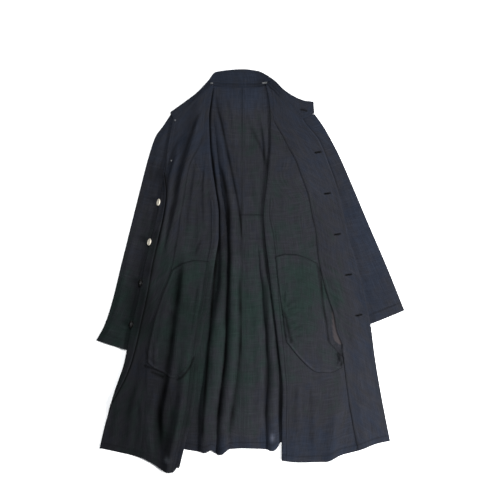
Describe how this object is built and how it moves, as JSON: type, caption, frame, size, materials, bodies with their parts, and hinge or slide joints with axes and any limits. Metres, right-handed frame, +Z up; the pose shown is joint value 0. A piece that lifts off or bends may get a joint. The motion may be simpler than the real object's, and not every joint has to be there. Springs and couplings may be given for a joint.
{
  "type": "shirt coat",
  "caption": "Unlined dark linen shirt coat with a band collar, unfastened and laid open on its back, fronts spread over the sleeves.",
  "frame": {"origin": "centre of the bounding box of the laid-out coat, on the floor it lies on", "axes": "+X to the wearer's left front seen from above as it lies (picture right), +Y from hem to collar, +Z up from the floor towards the viewer"},
  "size_m": [0.8929, 1.1682, 0.0263],
  "materials": {
    "linen": "dark green-black linen, plain weave, slightly creased",
    "button": "dark horn-look resin, polished"
  },
  "bodies": {
    "root": {"back_left": "linen", "back_right": "linen", "front_left": "linen", "front_right": "linen", "facing_left": "linen", "facing_right": "linen", "pocket_bag_left": "linen", "pocket_bag_right": "linen", "sleeve_left": "linen", "sleeve_right": "linen", "collar": "linen", "button_1": "button", "button_2": "button", "button_3": "button", "button_4": "button", "button_5": "button", "button_6": "button"}
  },
  "joints": []
}
